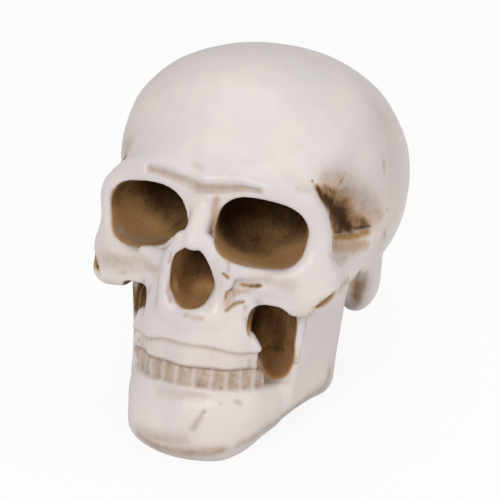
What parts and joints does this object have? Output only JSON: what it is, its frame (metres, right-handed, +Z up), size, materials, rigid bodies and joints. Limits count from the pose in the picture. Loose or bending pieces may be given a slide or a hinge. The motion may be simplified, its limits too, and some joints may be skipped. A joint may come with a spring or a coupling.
{
  "type": "ceramic fire pit skull",
  "caption": "Hollow refractory ceramic human skull for a fire pit, closed jaw cemented on, steel hoops inside, leaning back on its chin and neck.",
  "frame": {"origin": "on the ground under the middle of the part's length and width", "axes": "+Z up, the face looks along -Y, the skull's own left is +X"},
  "size_m": [0.1646, 0.2264, 0.1925],
  "materials": {
    "cranium": "satin fired refractory ceramic, stained brown in its hollows",
    "lower_jaw": "satin fired refractory ceramic, stained brown in its hollows",
    "bite_cement": "rough refractory cement, brown",
    "left_flank_cement": "rough refractory cement, brown",
    "right_flank_cement": "rough refractory cement, brown",
    "left_tooth_dowel": "plain round steel, dull",
    "right_tooth_dowel": "plain round steel, dull",
    "left_flank_dowel": "plain round steel, dull",
    "right_flank_dowel": "plain round steel, dull",
    "base_ring": "plain round steel, dull",
    "crown_hoop": "plain round steel, dull",
    "side_hoop": "plain round steel, dull",
    "brow_dab": "rough refractory cement, brown",
    "crown_dab": "rough refractory cement, brown",
    "rear_dab": "rough refractory cement, brown",
    "left_dab": "rough refractory cement, brown",
    "right_dab": "rough refractory cement, brown"
  },
  "bodies": {
    "root": {"cranium": "cranium", "lower_jaw": "lower_jaw", "bite_cement": "bite_cement", "left_flank_cement": "left_flank_cement", "right_flank_cement": "right_flank_cement", "left_tooth_dowel": "left_tooth_dowel", "right_tooth_dowel": "right_tooth_dowel", "left_flank_dowel": "left_flank_dowel", "right_flank_dowel": "right_flank_dowel", "base_ring": "base_ring", "crown_hoop": "crown_hoop", "side_hoop": "side_hoop", "brow_dab": "brow_dab", "crown_dab": "crown_dab", "rear_dab": "rear_dab", "left_dab": "left_dab", "right_dab": "right_dab"}
  },
  "joints": []
}
